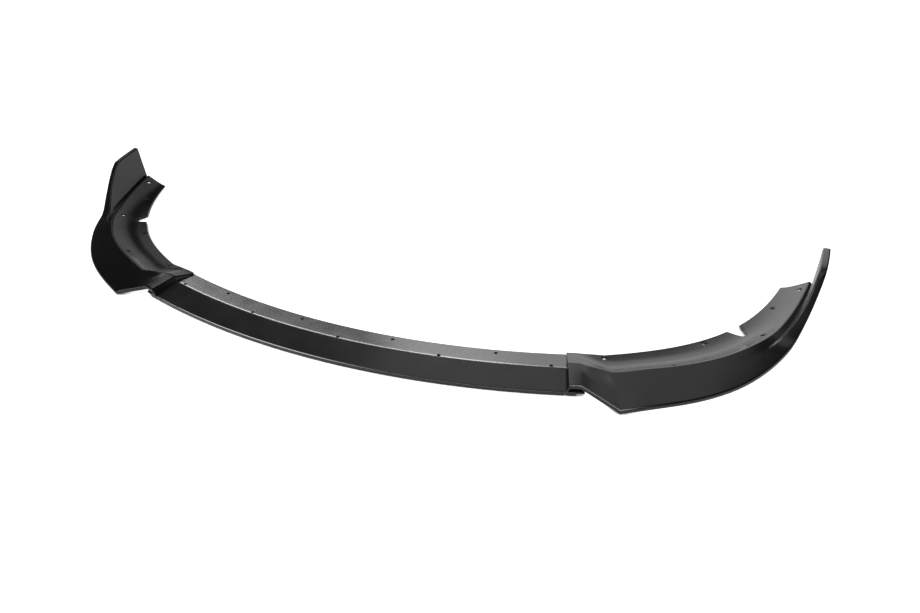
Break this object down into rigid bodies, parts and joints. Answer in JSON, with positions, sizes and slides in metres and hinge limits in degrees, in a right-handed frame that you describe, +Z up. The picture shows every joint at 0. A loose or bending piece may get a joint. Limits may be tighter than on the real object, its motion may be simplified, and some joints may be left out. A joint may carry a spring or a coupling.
{
  "type": "front splitter lip",
  "caption": "Moulded black front splitter lip for a car bumper: a bowed centre lip and two corner pieces with joggled seam collars, notched flanges and raised end fins.",
  "frame": {"origin": "on the car's centreline, midway between the nose and the back ends, on the floor that the lip lies on", "axes": "+X across the car to the right corner as the nose is looked at from the front, +Y back from the nose to the fins, +Z up"},
  "size_m": [1.848, 0.5209, 0.1189],
  "materials": {
    "black_plastic": "satin moulded black"
  },
  "bodies": {
    "root": {"center_lip": "black_plastic", "left_corner": "black_plastic", "right_corner": "black_plastic"}
  },
  "joints": []
}
